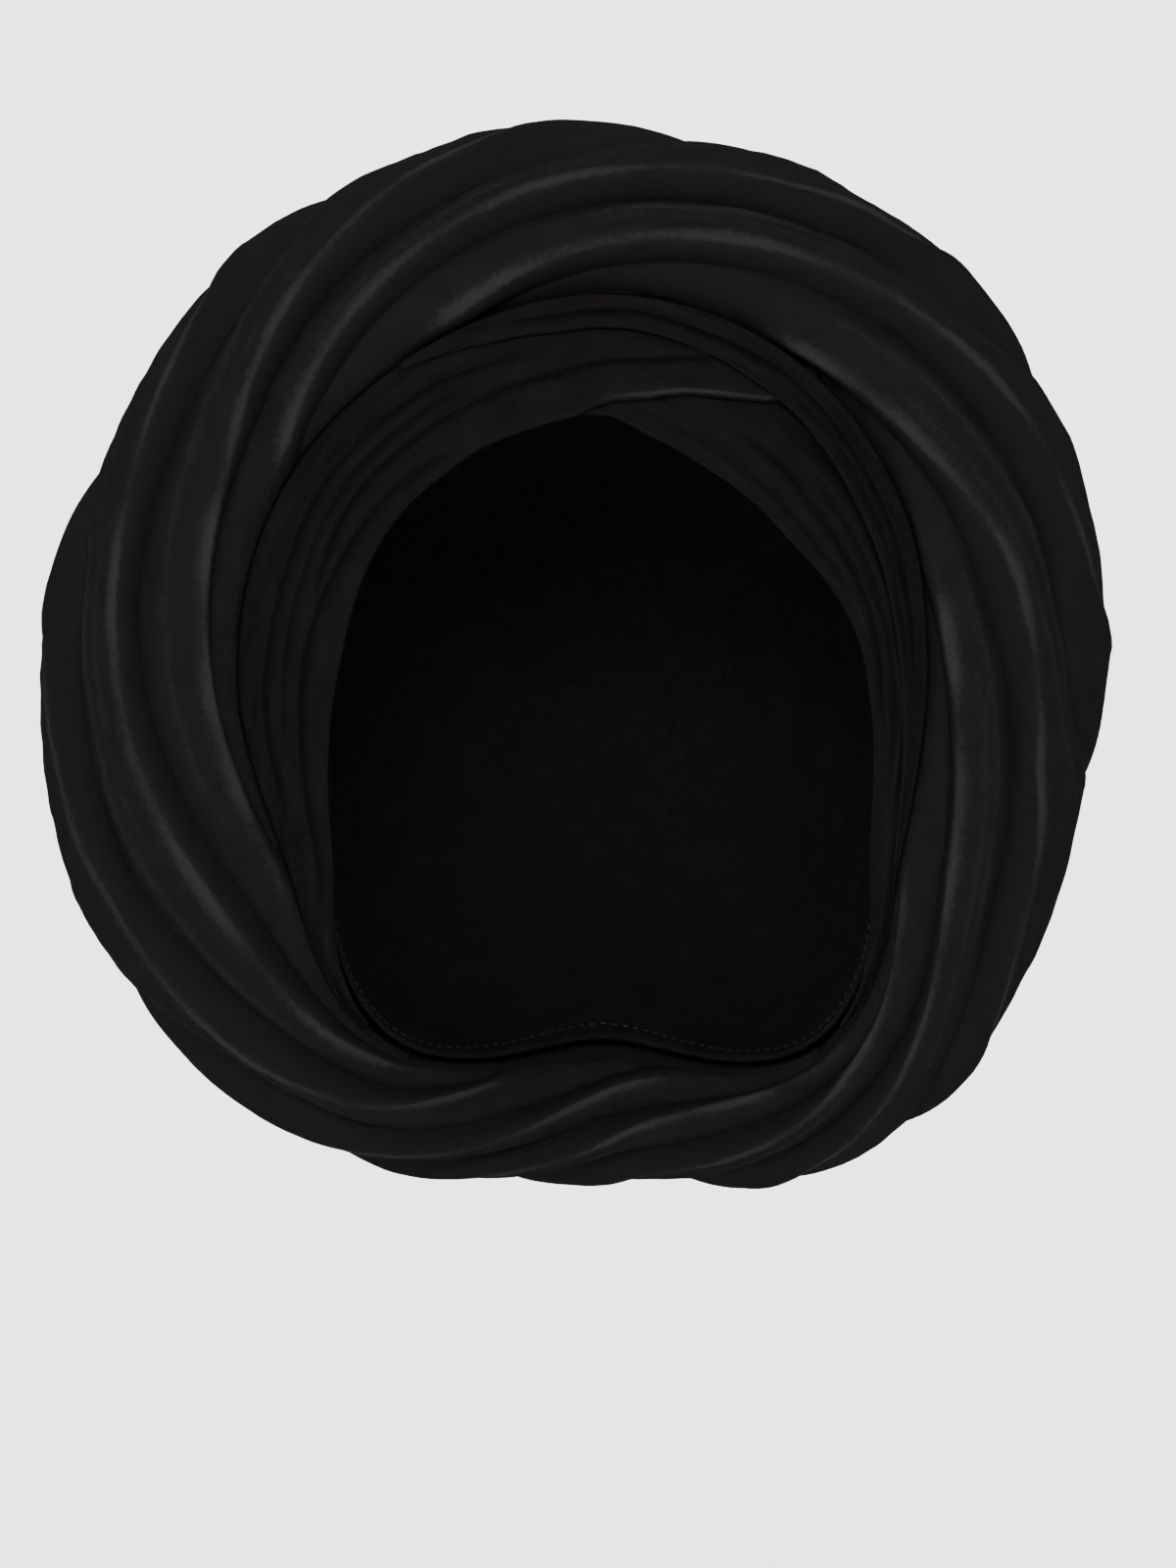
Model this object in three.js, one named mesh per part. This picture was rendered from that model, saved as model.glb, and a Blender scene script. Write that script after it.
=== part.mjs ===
// A ready-tied head tie of black velvet: a cap of five panels, three bands crossing on the forehead and a
// halo of wound folds.
// Millimetres, +Z up. The wearer faces -Y. The origin is where the crown of the head meets the cap.
// Every section lies in a plane through the axis, which runs front to back, axisDrop under the origin.
// turn is in degrees round that axis: 0 straight down, 90 to -X, 180 straight up, 270 to +X.
import * as THREE from 'three';

const axisDrop = 90;
const headMiddle = 8; // depth of the head's widest section
const headHalfLength = 94;
const capThick = 2;
const capStart = 1.3; // degrees that the cap's hem lies behind the face edge, round the head
const capBack = 58; // degrees round the head where the side panels meet the back panel
const capPole = 89; // and where the back panel closes in a small flat
const seamGap = 0.5; // between two panels of the cap
const coreGap = 1.5; // from the cap to the folds, more than the cap's own facets bulge
const napeGap = 1.2; // added to it at the nape, where the facets twist
const coreStart = 14; // degrees round the head from the face edge to the folds' inner edge
const napeStart = 7; // taken off it at the nape
const coreEnd = 61; // degrees round the head where the folds are tucked in at the back
const wrapThick = 2.4;
const layerPitch = 3; // from one layer of wrap to the next
const wrapCrown = 2.5; // how far the wraps bulge forwards between their edges
const rollForward = 0.29; // how far the halo rolls forwards of the wraps, as a part of its width from them
const rollSharpness = 0.65; // under 1, so that the halo rises steeply from the wraps
const backRadius = 54; // the ring where the folds end at the back
const backDepth = 99;
const crestFront = 7.5; // height of a fold's crest over its valley on the front
const crestRim = 5;
const crestBack = 4;
const crestRise = 8; // degrees round the section in which the crests rise from the wraps
const crestTuck = 25; // and in which they sink at the back
const crestStart = 15; // degrees of turn in which each crest grows to its height
const fullWidth = 26; // a fold narrower than this has a lower crest
const valleyPlace = 0.3; // a valley lies this part of the way from a crest to the next one inwards
const foldGap = 0.4;
const rowTurn = 8; // from one section of a fold to the next
const innerColumns = 2; // facets across a fold, inside its crest and outside it
const outerColumns = 4;
const leastWidth = 3; // a fold's tips are cut off where it is narrower, in degrees round the section
const sideRows = 8; // facets of a side panel, hem to back panel
const backRows = 3; // facets of the back panel, edge to middle
const wrapColumns = 4; // facets across a wrap
const widthPerDegree = 1; // of the halo's skin for each degree round its section
const runPerDegree = 2.2; // of the halo's skin for each degree of turn
const narrowestCrest = 0.12; // how near a crest comes to its fold's inner edge, as a part of the width
const widestCrest = 0.7;
const velvetColour = 0x1c1c1e;
const wrapColour = 0x20191a;

// Sections of the head tie. Radii are from the axis, depths along +Y.
// The face edge is the edge of the opening, the wrap edge is where the wraps go in under the halo.
const sectionColumns = [
  'turn',
  'faceRadius',
  'faceDepth',
  'wrapRadius',
  'wrapDepth',
  'rimRadius',
  'rimDepth',
];
const sections = [
  [0, 104, 46, 110, 48, 143, 74],
  [30, 117, 12, 121.5, 13, 152, 38],
  [60, 88, -16, 102, -15, 158, 15],
  [90, 73.5, -30, 100.5, -30, 154, 6],
  [120, 71, -40, 101, -38, 150, 4],
  [150, 70, -48, 100, -44, 152, 4],
  [180, 69.5, -52, 101.5, -47, 149.5, 4],
  [210, 63, -50, 99, -44, 148, 4],
  [240, 64.5, -42, 93, -38, 144, 5],
  [270, 72, -30, 88, -30, 136.5, 7],
  [300, 86, -15, 95, -16, 140.5, 15],
  [330, 118, 12, 122.5, 13, 153, 38],
].map((row) => Object.fromEntries(sectionColumns.map((column, k) => [column, row[k]])));

// Each fold's crest line: its turn where it leaves the wraps, at 15, 30, 45 and 60 degrees round the front
// of the halo's section, on the rim and at the back. The folds are in order of turn.
const backSide = 180;
const roundSteps = [0, 15, 30, 45, 60, 90, backSide];
const folds = [
  { name: 'halo_fold_1', wrap: 10, at15: 19, at30: 29, at45: 44, at60: 88, rim: 102.3, back: 150 },
  { name: 'halo_fold_2', wrap: 20, at15: 38, at30: 77, at45: 116, at60: 132, rim: 141.3, back: 190 },
  { name: 'halo_fold_3', wrap: 30, at15: 112, at30: 134.5, at45: 153, at60: 167, rim: 178.9, back: 228 },
  { name: 'halo_fold_4', wrap: 115, at15: 136, at30: 163, at45: 194, at60: 215, rim: 224.4, back: 270 },
  { name: 'halo_fold_5', wrap: 142, at15: 176, at30: 211, at45: 238, at60: 259, rim: 268.9, back: 313 },
  { name: 'halo_fold_6', wrap: 198, at15: 236, at30: 259, at45: 296, at60: 311, rim: 318.7, back: 355 },
  { name: 'halo_fold_7', wrap: 232, at15: 286, at30: 321, at45: 331, at60: 338, rim: 345, back: 385 },
  { name: 'halo_fold_8', wrap: 296, at15: 326, at30: 337, at45: 346, at60: 355, rim: 365, back: 410 },
  { name: 'halo_fold_9', wrap: 320, at15: 342, at30: 355, at45: 363, at60: 372, rim: 383.6, back: 435 },
  { name: 'halo_fold_10', wrap: 345, at15: 358, at30: 369, at45: 378, at60: 388, rim: 400.3, back: 463 },
];

// The cap's side panels, each from one turn to another
const sidePanels = [
  { name: 'cap_top', from: 136, to: 224 },
  { name: 'cap_right', from: 224, to: 312 },
  { name: 'cap_nape', from: 312, to: 408 },
  { name: 'cap_left', from: 48, to: 136 },
];

// The bands across the forehead. Along its run, each row gives the band's two edges as parts of the way
// from the face edge to the wrap edge, and the layer that it lies in.
const wraps = [
  {
    name: 'right_inner_wrap',
    run: [
      { turn: 152, inner: 0.55, outer: 0.96, layer: 0 },
      { turn: 168, inner: 0.2, outer: 0.96, layer: 0 },
      { turn: 176, inner: 0.0, outer: 0.96, layer: 0 },
      { turn: 240, inner: 0.0, outer: 0.96, layer: 0 },
      { turn: 320, inner: 0.0, outer: 0.95, layer: 0 },
    ],
  },
  {
    name: 'left_inner_wrap',
    run: [
      { turn: 40, inner: 0.0, outer: 0.95, layer: 0 },
      { turn: 134, inner: 0.0, outer: 0.96, layer: 0 },
      { turn: 150, inner: 0.0, outer: 0.96, layer: 1 },
      { turn: 174, inner: 0.0, outer: 0.96, layer: 1 },
      { turn: 189, inner: 0.28, outer: 0.96, layer: 1 },
      { turn: 204, inner: 0.5, outer: 0.96, layer: 1 },
      { turn: 216, inner: 0.78, outer: 0.96, layer: 1 },
    ],
  },
  {
    name: 'top_inner_wrap',
    run: [
      { turn: 152, inner: 0.82, outer: 0.97, layer: 2 },
      { turn: 172, inner: 0.6, outer: 0.97, layer: 2 },
      { turn: 196, inner: 0.66, outer: 0.97, layer: 2 },
      { turn: 222, inner: 0.7, outer: 0.97, layer: 2 },
      { turn: 240, inner: 0.62, outer: 0.97, layer: 1 },
      { turn: 275, inner: 0.55, outer: 0.97, layer: 1 },
      { turn: 304, inner: 0.7, outer: 0.94, layer: 1 },
    ],
  },
];

const radians = THREE.MathUtils.degToRad;
const mix = THREE.MathUtils.lerp;
const fullTurn = 360;

// A smooth closed curve through one column of the sections
function section(column, turn) {
  const count = sections.length;
  const place = (((turn % fullTurn) + fullTurn) % fullTurn) / (fullTurn / count);
  const first = Math.floor(place);
  const t = place - first;
  const [a, b, c, d] = [-1, 0, 1, 2].map((step) => sections[(first + step + count) % count][column]);
  return b + 0.5 * t * (c - a + t * (2 * a - 5 * b + 4 * c - d + t * (3 * (b - c) + d - a)));
}

// A rising curve through the points (steps, values), with no overshoot between them
function rising(steps, values, at) {
  const last = steps.length - 1;
  let k = 0;
  while (k < last - 1 && at > steps[k + 1]) k += 1;
  const rate = (j) => (values[j + 1] - values[j]) / (steps[j + 1] - steps[j]);
  const slope = (j) => {
    if (j === 0) return rate(0);
    if (j === last) return rate(last - 1);
    return (2 * rate(j - 1) * rate(j)) / (rate(j - 1) + rate(j));
  };
  const width = steps[k + 1] - steps[k];
  const t = Math.min(Math.max((at - steps[k]) / width, 0), 1);
  const start = (1 + 2 * t) * (1 - t) ** 2 * values[k] + t * (1 - t) ** 2 * width * slope(k);
  return start + t * t * (3 - 2 * t) * values[k + 1] + t * t * (t - 1) * width * slope(k + 1);
}

// A point from its turn, its radius from the axis and its depth
function point(turn, radius, depth) {
  const angle = radians(turn);
  return new THREE.Vector3(-radius * Math.sin(angle), depth, -axisDrop - radius * Math.cos(angle));
}

// The head's outside, grown outwards by a distance, at an angle round the head from its widest section
function headPoint(turn, round, grown) {
  const faceAngle = faceRound(turn);
  const headRadius = section('faceRadius', turn) / Math.cos(radians(faceAngle));
  const angle = radians(round);
  const radius = (headRadius + grown) * Math.cos(angle);
  return { radius, depth: headMiddle + (headHalfLength + grown) * Math.sin(angle) };
}

function faceRound(turn) {
  const sine = (section('faceDepth', turn) - headMiddle) / headHalfLength;
  return THREE.MathUtils.radToDeg(Math.asin(sine));
}

// The surface that the wraps lie on, from the face edge (0) to the wrap edge (1)
function wrapBed(turn, part) {
  return {
    radius: mix(section('faceRadius', turn), section('wrapRadius', turn), part),
    depth:
      mix(section('faceDepth', turn), section('wrapDepth', turn), part) -
      wrapCrown * Math.sin(Math.PI * part) ** 1.5,
  };
}

// The halo's section without its crests, from the wraps at 0 over the front to the rim at 90 and round the
// back to 180
function haloSection(turn, round) {
  const wrapRadius = section('wrapRadius', turn);
  const wrapDepth = section('wrapDepth', turn);
  const rimRadius = section('rimRadius', turn);
  const rimDepth = section('rimDepth', turn);
  const angle = radians(round);
  if (round <= 90) {
    const roll = rollForward * (rimRadius - wrapRadius) * Math.abs(Math.sin(2 * angle)) ** rollSharpness;
    return {
      radius: wrapRadius + (rimRadius - wrapRadius) * Math.sin(angle),
      depth: rimDepth - (rimDepth - wrapDepth) * Math.cos(angle) - roll,
    };
  }
  return {
    radius: backRadius + (rimRadius - backRadius) * Math.sin(angle),
    depth: rimDepth - (backDepth - rimDepth) * Math.cos(angle),
  };
}

// The turns of a fold's crest and of its valley at each of roundSteps. Folds before the first and after the
// last are a turn away.
function crestTurns(index) {
  const count = folds.length;
  const laps = Math.floor(index / count);
  const fold = folds[index - laps * count];
  const turns = [fold.wrap, fold.at15, fold.at30, fold.at45, fold.at60, fold.rim, fold.back];
  return turns.map((turn) => turn + laps * fullTurn);
}

function valleyTurns(index) {
  const inner = crestTurns(index + 1);
  return crestTurns(index).map((turn, k) => mix(turn, inner[k], valleyPlace));
}

// How far round the halo's section a crest or valley is at a turn
function lineRound(turns, turn) {
  if (turn <= turns[0]) return 0;
  if (turn >= turns[turns.length - 1]) return backSide;
  return rising(turns, roundSteps, turn);
}

// Half the gap between two folds, in degrees round the section, wider where the line between them is steep
function inset(turns, turn) {
  const rise = (lineRound(turns, turn + rowTurn / 2) - lineRound(turns, turn - rowTurn / 2)) / rowTurn;
  return (foldGap / 2 / widthPerDegree) * Math.hypot(1, (rise * widthPerDegree) / runPerDegree);
}

// The height of a fold across its width, from its own valley (0) to the next fold's valley outside it (1)
function crestShape(across, crestAt) {
  if (across < crestAt) return Math.sin((Math.PI / 2) * (across / crestAt)) ** 0.9;
  return Math.cos((Math.PI / 2) * ((across - crestAt) / (1 - crestAt))) ** 1.2;
}

function crestHeight(round) {
  const rise = Math.min(1, round / crestRise);
  if (round <= 90) return rise * mix(crestFront, crestRim, round / 90);
  return mix(crestRim, crestBack, (round - 90) / 90) * Math.min(1, (backSide - round) / crestTuck);
}

// A closed solid between two grids of points with the same rows and columns
function slab(front, back) {
  const rows = front.length;
  const columns = front[0].length;
  const corners = [];
  const triangle = (a, b, c) => corners.push(a, b, c);
  const quad = (a, b, c, d) => {
    triangle(a, b, c);
    triangle(a, c, d);
  };
  for (let i = 0; i < rows - 1; i += 1) {
    for (let j = 0; j < columns - 1; j += 1) {
      quad(front[i][j], front[i + 1][j], front[i + 1][j + 1], front[i][j + 1]);
      quad(back[i][j], back[i][j + 1], back[i + 1][j + 1], back[i + 1][j]);
    }
    quad(front[i][0], back[i][0], back[i + 1][0], front[i + 1][0]);
    const end = columns - 1;
    quad(front[i][end], front[i + 1][end], back[i + 1][end], back[i][end]);
  }
  for (let j = 0; j < columns - 1; j += 1) {
    const end = rows - 1;
    quad(front[0][j], front[0][j + 1], back[0][j + 1], back[0][j]);
    quad(front[end][j], back[end][j], back[end][j + 1], front[end][j + 1]);
  }
  return corners;
}

function mesh(name, corners, colour, roughness) {
  const geometry = new THREE.BufferGeometry().setFromPoints(corners);
  geometry.computeVertexNormals();
  const material = new THREE.MeshStandardMaterial({ color: colour, roughness, metalness: 0 });
  const piece = new THREE.Mesh(geometry, material);
  piece.name = name;
  return piece;
}

// A point of the cap at a turn and an angle round the head
function capPoint(turn, round, grown) {
  const at = headPoint(turn, round, grown);
  return point(turn, at.radius, at.depth);
}

// A side panel of the cap, from its hem to the back panel
function sidePanel(panel) {
  const columns = (panel.to - panel.from) / rowTurn;
  const halfSeam = THREE.MathUtils.radToDeg(seamGap / 2 / section('faceRadius', panel.from));
  const grid = (grown) =>
    Array.from({ length: columns + 1 }, (_, j) => {
      const seam = j === 0 ? halfSeam : j === columns ? -halfSeam : 0;
      const turn = panel.from + j * rowTurn + seam;
      return Array.from({ length: sideRows + 1 }, (__, i) =>
        capPoint(turn, mix(faceRound(turn) + capStart, capBack, i / sideRows), grown),
      );
    });
  return mesh(panel.name, slab(grid(capThick), grid(0)), wrapColour, 0.95);
}

// The back panel of the cap, a shallow dome
function backPanel() {
  const columns = fullTurn / rowTurn;
  const start = capBack + THREE.MathUtils.radToDeg(seamGap / headHalfLength);
  const grid = (grown) =>
    Array.from({ length: backRows + 1 }, (_, i) => {
      const round = mix(start, capPole, i / backRows);
      return Array.from({ length: columns }, (__, j) => capPoint(j * rowTurn, round, grown));
    });
  const outside = grid(capThick);
  const inside = grid(0);
  const sumOf = (ring) => ring.reduce((sum, p) => sum.add(p), new THREE.Vector3());
  const middle = (ring) => sumOf(ring).divideScalar(ring.length);
  const outerPole = middle(outside[backRows]);
  const innerPole = middle(inside[backRows]);
  const corners = [];
  const quad = (a, b, c, d) => corners.push(a, c, b, a, d, c);
  for (let j = 0; j < columns; j += 1) {
    const k = (j + 1) % columns;
    for (let i = 0; i < backRows; i += 1) {
      quad(outside[i][j], outside[i + 1][j], outside[i + 1][k], outside[i][k]);
      quad(inside[i][j], inside[i][k], inside[i + 1][k], inside[i + 1][j]);
    }
    quad(outside[0][j], outside[0][k], inside[0][k], inside[0][j]);
    corners.push(outside[backRows][j], outside[backRows][k], outerPole);
    corners.push(inside[backRows][j], innerPole, inside[backRows][k]);
  }
  return mesh('cap_back', corners, wrapColour, 0.95);
}

// A band of cloth across the forehead
function innerWrap(wrap) {
  const turns = wrap.run.map((row) => row.turn);
  const column = (name, turn) => {
    let k = 0;
    while (k < turns.length - 2 && turn > turns[k + 1]) k += 1;
    const t = (turn - turns[k]) / (turns[k + 1] - turns[k]);
    return mix(wrap.run[k][name], wrap.run[k + 1][name], THREE.MathUtils.smoothstep(t, 0, 1));
  };
  const across = wrapColumns;
  const span = turns[turns.length - 1] - turns[0];
  const along = Math.round(span / rowTurn);
  const grid = (lift) =>
    Array.from({ length: along + 1 }, (_, i) => {
      const turn = turns[0] + (span * i) / along;
      return Array.from({ length: across + 1 }, (__, j) => {
        const bed = wrapBed(turn, mix(column('inner', turn), column('outer', turn), j / across));
        return point(turn, bed.radius, bed.depth - column('layer', turn) * layerPitch - lift);
      });
    });
  return mesh(wrap.name, slab(grid(wrapThick), grid(0)), wrapColour, 0.9);
}

// A wound fold of the halo, from the cap out to its velvet surface, in sections of constant turn
function haloFold(index) {
  const crest = crestTurns(index);
  const near = valleyTurns(index);
  const far = valleyTurns(index - 1);
  const front = [];
  const back = [];
  const firstRow = Math.ceil(far[0] / rowTurn);
  const lastRow = Math.floor(near[near.length - 1] / rowTurn);
  for (let row = firstRow; row <= lastRow; row += 1) {
    const turn = row * rowTurn;
    const inner = lineRound(near, turn);
    const outer = lineRound(far, turn);
    if (outer - inner < leastWidth) continue;
    const crestPlace = (lineRound(crest, turn) - inner) / (outer - inner);
    const crestAt = THREE.MathUtils.clamp(crestPlace, narrowestCrest, widestCrest);
    const grown = THREE.MathUtils.smoothstep(turn, crest[0], crest[0] + crestStart);
    const width = (outer - inner) * widthPerDegree;
    const scale = grown * Math.min(1, width / fullWidth);
    const frontRow = [];
    const backRow = [];
    for (let j = 0; j <= innerColumns + outerColumns; j += 1) {
      const across =
        j < innerColumns ? (crestAt * j) / innerColumns : mix(crestAt, 1, (j - innerColumns) / outerColumns);
      const round = mix(inner + inset(near, turn), outer - inset(far, turn), across);
      const flat = haloSection(turn, round);
      const height = crestHeight(round) * scale * crestShape(across, crestAt);
      const nape = Math.cos(radians(turn / 2)) ** 6;
      const coreRound = mix(faceRound(turn) + coreStart - napeStart * nape, coreEnd, round / backSide);
      const clear = coreGap + napeGap * nape;
      const core = headPoint(turn, coreRound, capThick + clear);
      const out = new THREE.Vector2(flat.radius - core.radius, flat.depth - core.depth).normalize();
      frontRow.push(point(turn, flat.radius + out.x * height, flat.depth + out.y * height));
      backRow.push(point(turn, core.radius, core.depth));
    }
    front.push(frontRow);
    back.push(backRow);
  }
  return mesh(folds[index].name, slab(front, back), velvetColour, 0.8);
}

const headTie = new THREE.Group();
headTie.add(backPanel());
for (const panel of sidePanels) headTie.add(sidePanel(panel));
for (const wrap of wraps) headTie.add(innerWrap(wrap));
folds.forEach((_, index) => headTie.add(haloFold(index)));

export default headTie;
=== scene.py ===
import math
import bpy
import numpy as np
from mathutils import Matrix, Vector


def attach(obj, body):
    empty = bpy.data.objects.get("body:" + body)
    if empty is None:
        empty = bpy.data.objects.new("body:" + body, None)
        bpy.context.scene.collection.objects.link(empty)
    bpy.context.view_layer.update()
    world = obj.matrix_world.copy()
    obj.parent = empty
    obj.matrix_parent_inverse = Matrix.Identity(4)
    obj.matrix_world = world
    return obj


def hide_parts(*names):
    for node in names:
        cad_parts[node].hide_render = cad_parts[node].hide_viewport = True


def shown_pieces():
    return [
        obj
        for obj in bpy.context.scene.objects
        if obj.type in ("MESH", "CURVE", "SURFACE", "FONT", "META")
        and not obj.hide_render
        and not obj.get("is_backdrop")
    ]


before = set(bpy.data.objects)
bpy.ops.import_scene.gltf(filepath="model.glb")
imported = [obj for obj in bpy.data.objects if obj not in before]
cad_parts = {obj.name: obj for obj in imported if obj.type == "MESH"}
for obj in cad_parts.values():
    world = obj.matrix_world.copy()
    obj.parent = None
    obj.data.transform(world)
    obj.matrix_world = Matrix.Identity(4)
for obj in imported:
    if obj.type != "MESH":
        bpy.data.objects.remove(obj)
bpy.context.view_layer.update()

# Lengths in the tables are millimetres and angles degrees, as a maker would pin them; meshes are made in metres.
# The studio's own values are metres and watts. A cloth's flat size is in metres too.
# turn goes round the axis from front to back: 0 straight down, 90 left of the picture, 180 up, 270 right of it.
# round goes round the halo's section: 0 where it meets the bands, 90 on the rim, 180 tucked in at the back.
mm = 0.001
fullTurn = 360.0
foldReach = 130.0  # radius at which the cloth's length along a fold is measured
bandReach = 85.0  # and along a band or the cap

headForm = {
    "axisDrop": 90.0,
    "middle": 8.0,
    "halfLength": 94.0,
    "capThick": 2.0,
    "capStart": 1.3,
    "capPole": 89.0,
    "bandThick": 2.4,
    "layerPitch": 3.0,
    "bandCrown": 2.5,
    "rollForward": 0.29,
    "rollSharpness": 0.65,
    "backRadius": 54.0,  # of the oval of the cap that the folds are tucked round
    "backDepth": 99.0,
}

# one row every 30 degrees of turn: face radius and depth, band edge radius and depth, rim radius and depth
sectionRows = np.array([
    (104, 46, 110, 48, 143, 74),
    (117, 12, 121.5, 13, 152, 38),
    (88, -16, 102, -15, 158, 15),
    (73.5, -30, 100.5, -30, 154, 6),
    (71, -40, 101, -38, 150, 4),
    (70, -48, 100, -44, 152, 4),
    (69.5, -52, 101.5, -47, 149.5, 4),
    (63, -50, 99, -44, 148, 4),
    (64.5, -42, 93, -38, 144, 5),
    (72, -30, 88, -30, 136.5, 7),
    (86, -15, 95, -16, 140.5, 15),
    (118, 12, 122.5, 13, 153, 38),
], float)
sectionColumn = {"faceRadius": 0, "faceDepth": 1, "bandRadius": 2, "bandDepth": 3, "rimRadius": 4, "rimDepth": 5}


def section(name, turn):
    # a smooth closed curve through one column of the rows
    values = sectionRows[:, sectionColumn[name]]
    count = len(values)
    place = np.mod(turn, fullTurn) / (fullTurn / count)
    first = np.floor(place).astype(int)
    t = place - first
    a, b, c, d = (values[(first + step) % count] for step in (-1, 0, 1, 2))
    return b + 0.5 * t * (c - a + t * (2 * a - 5 * b + 4 * c - d + t * (3 * (b - c) + d - a)))


def rising(steps, values, at):
    # a curve through values over steps that never turns back between them
    steps, values = np.array(steps, float), np.array(values, float)
    rate = np.diff(values) / np.diff(steps)
    slope = np.concatenate([[rate[0]], 2 * rate[:-1] * rate[1:] / (rate[:-1] + rate[1:]), [rate[-1]]])
    k = np.clip(np.searchsorted(steps, at, side="left") - 1, 0, len(steps) - 2)
    width = steps[k + 1] - steps[k]
    t = np.clip((at - steps[k]) / width, 0, 1)
    start = (1 + 2 * t) * (1 - t) ** 2 * values[k] + t * (1 - t) ** 2 * width * slope[k]
    return start + t * t * (3 - 2 * t) * values[k + 1] + t * t * (t - 1) * width * slope[k + 1]


def mix(a, b, t):
    return a + (b - a) * t


def easeStep(value, low, high):
    t = np.clip((value - low) / (high - low), 0, 1)
    return t * t * (3 - 2 * t)


def place(turn, radius, depth):
    angle = np.radians(turn)
    drop = headForm["axisDrop"]
    return np.stack(np.broadcast_arrays(-radius * np.sin(angle), depth, -drop - radius * np.cos(angle)), axis=-1) * mm


def faceRound(turn):
    return np.degrees(np.arcsin((section("faceDepth", turn) - headForm["middle"]) / headForm["halfLength"]))


def headPoint(turn, angleRound, grown):
    radius = section("faceRadius", turn) / np.cos(np.radians(faceRound(turn)))
    angle = np.radians(angleRound)
    return (radius + grown) * np.cos(angle), headForm["middle"] + (headForm["halfLength"] + grown) * np.sin(angle)


def haloSkin(turn, angleRound):
    bandRadius, bandDepth = section("bandRadius", turn), section("bandDepth", turn)
    rimRadius, rimDepth = section("rimRadius", turn), section("rimDepth", turn)
    angle = np.radians(angleRound)
    width = rimRadius - bandRadius
    roll = headForm["rollForward"] * width * np.abs(np.sin(2 * angle)) ** headForm["rollSharpness"]
    frontRadius = bandRadius + width * np.sin(angle)
    frontDepth = rimDepth - (rimDepth - bandDepth) * np.cos(angle) - roll
    backRadius = headForm["backRadius"] + (rimRadius - headForm["backRadius"]) * np.sin(angle)
    backDepth = rimDepth - (headForm["backDepth"] - rimDepth) * np.cos(angle)
    onFront = angleRound <= 90
    return np.where(onFront, frontRadius, backRadius), np.where(onFront, frontDepth, backDepth)


def waves(along, across, seed, lengthAlong, lengthAcross, count=7):
    # soft dents: the sum of a few seeded waves, mostly less than 1 high
    draw = np.random.default_rng(seed)
    total = 0.0
    for _ in range(count):
        pitchAlong, pitchAcross = lengthAlong * draw.uniform(0.6, 1.6), lengthAcross * draw.uniform(0.6, 1.6)
        lean, start = draw.choice([-1, 1]), draw.uniform(0, 2 * math.pi)
        total = total + np.sin(2 * math.pi * (along / pitchAlong + lean * across / pitchAcross) + start)
    return total / math.sqrt(count)


def meshPiece(name, points, faces, material, attributes=None, uv=None):
    data = bpy.data.meshes.new(name)
    data.from_pydata(points.tolist(), [], faces.tolist() if hasattr(faces, "tolist") else faces)
    data.validate()
    data.polygons.foreach_set("use_smooth", np.ones(len(data.polygons), bool))
    for key, values in (attributes or {}).items():
        data.attributes.new(key, "FLOAT", "POINT").data.foreach_set("value", np.asarray(values, np.float32).ravel())
    if uv is not None:
        corner = np.zeros(len(data.loops), np.int32)
        data.loops.foreach_get("vertex_index", corner)
        data.uv_layers.new(name="cloth").data.foreach_set("uv", uv[corner].astype(np.float32).ravel())
    data.update()
    piece = bpy.data.objects.new(name, data)
    bpy.context.scene.collection.objects.link(piece)
    data.materials.append(material)
    return piece


def closedTube(rings):
    # quads between rings that close on themselves, with a fan at each end, facing outwards
    rows, count = rings.shape[:2]
    points = np.concatenate([rings.reshape(-1, 3), rings[:1].mean(axis=1), rings[-1:].mean(axis=1)])
    i, j = np.meshgrid(np.arange(rows - 1), np.arange(count), indexing="ij")
    k = (j + 1) % count
    quads = np.stack([i * count + j, (i + 1) * count + j, (i + 1) * count + k, i * count + k], axis=-1).reshape(-1, 4)
    a = np.arange(count)
    b = (a + 1) % count
    last = (rows - 1) * count
    first = np.stack([a, b, np.full(count, rows * count)], axis=-1)
    end = np.stack([last + b, last + a, np.full(count, rows * count + 1)], axis=-1)
    corners = points[quads]
    volume = np.einsum("ij,ij->i", corners[:, 0], np.cross(corners[:, 1], corners[:, 2]))
    volume += np.einsum("ij,ij->i", corners[:, 0], np.cross(corners[:, 2], corners[:, 3]))
    faces = quads.tolist() + first.tolist() + end.tolist()
    if volume.sum() < 0:
        faces = [face[::-1] for face in faces]
    return points, faces


def ringCloth(rings, along):
    # the cloth laid flat: along the piece, and its own length round each ring; the two fan points come last
    step = np.linalg.norm(np.diff(rings, axis=1), axis=2)
    across = np.concatenate([np.zeros((len(rings), 1)), np.cumsum(step, axis=1)], axis=1)
    uv = np.stack([np.broadcast_to(along, across.shape), across], axis=-1).reshape(-1, 2)
    return np.concatenate([uv, uv[:1], uv[-1:]])


def ringMarks(rings, **shown):
    # marks cover the first points of each ring, and the rest of it is unmarked
    marks = {}
    for name, mark in shown.items():
        hidden = np.zeros((len(rings), rings.shape[1] - mark.shape[1]))
        marks[name] = np.append(np.concatenate([mark, hidden], axis=1).ravel(), [0, 0])
    return marks


print("stage: cloths")


def socket(node, name, value):
    node.inputs[name].default_value = value


def newMaterial(name):
    made = bpy.data.materials.new(name)
    made.use_nodes = True
    made.node_tree.nodes.clear()
    return made, made.node_tree.nodes, made.node_tree.links


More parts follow.
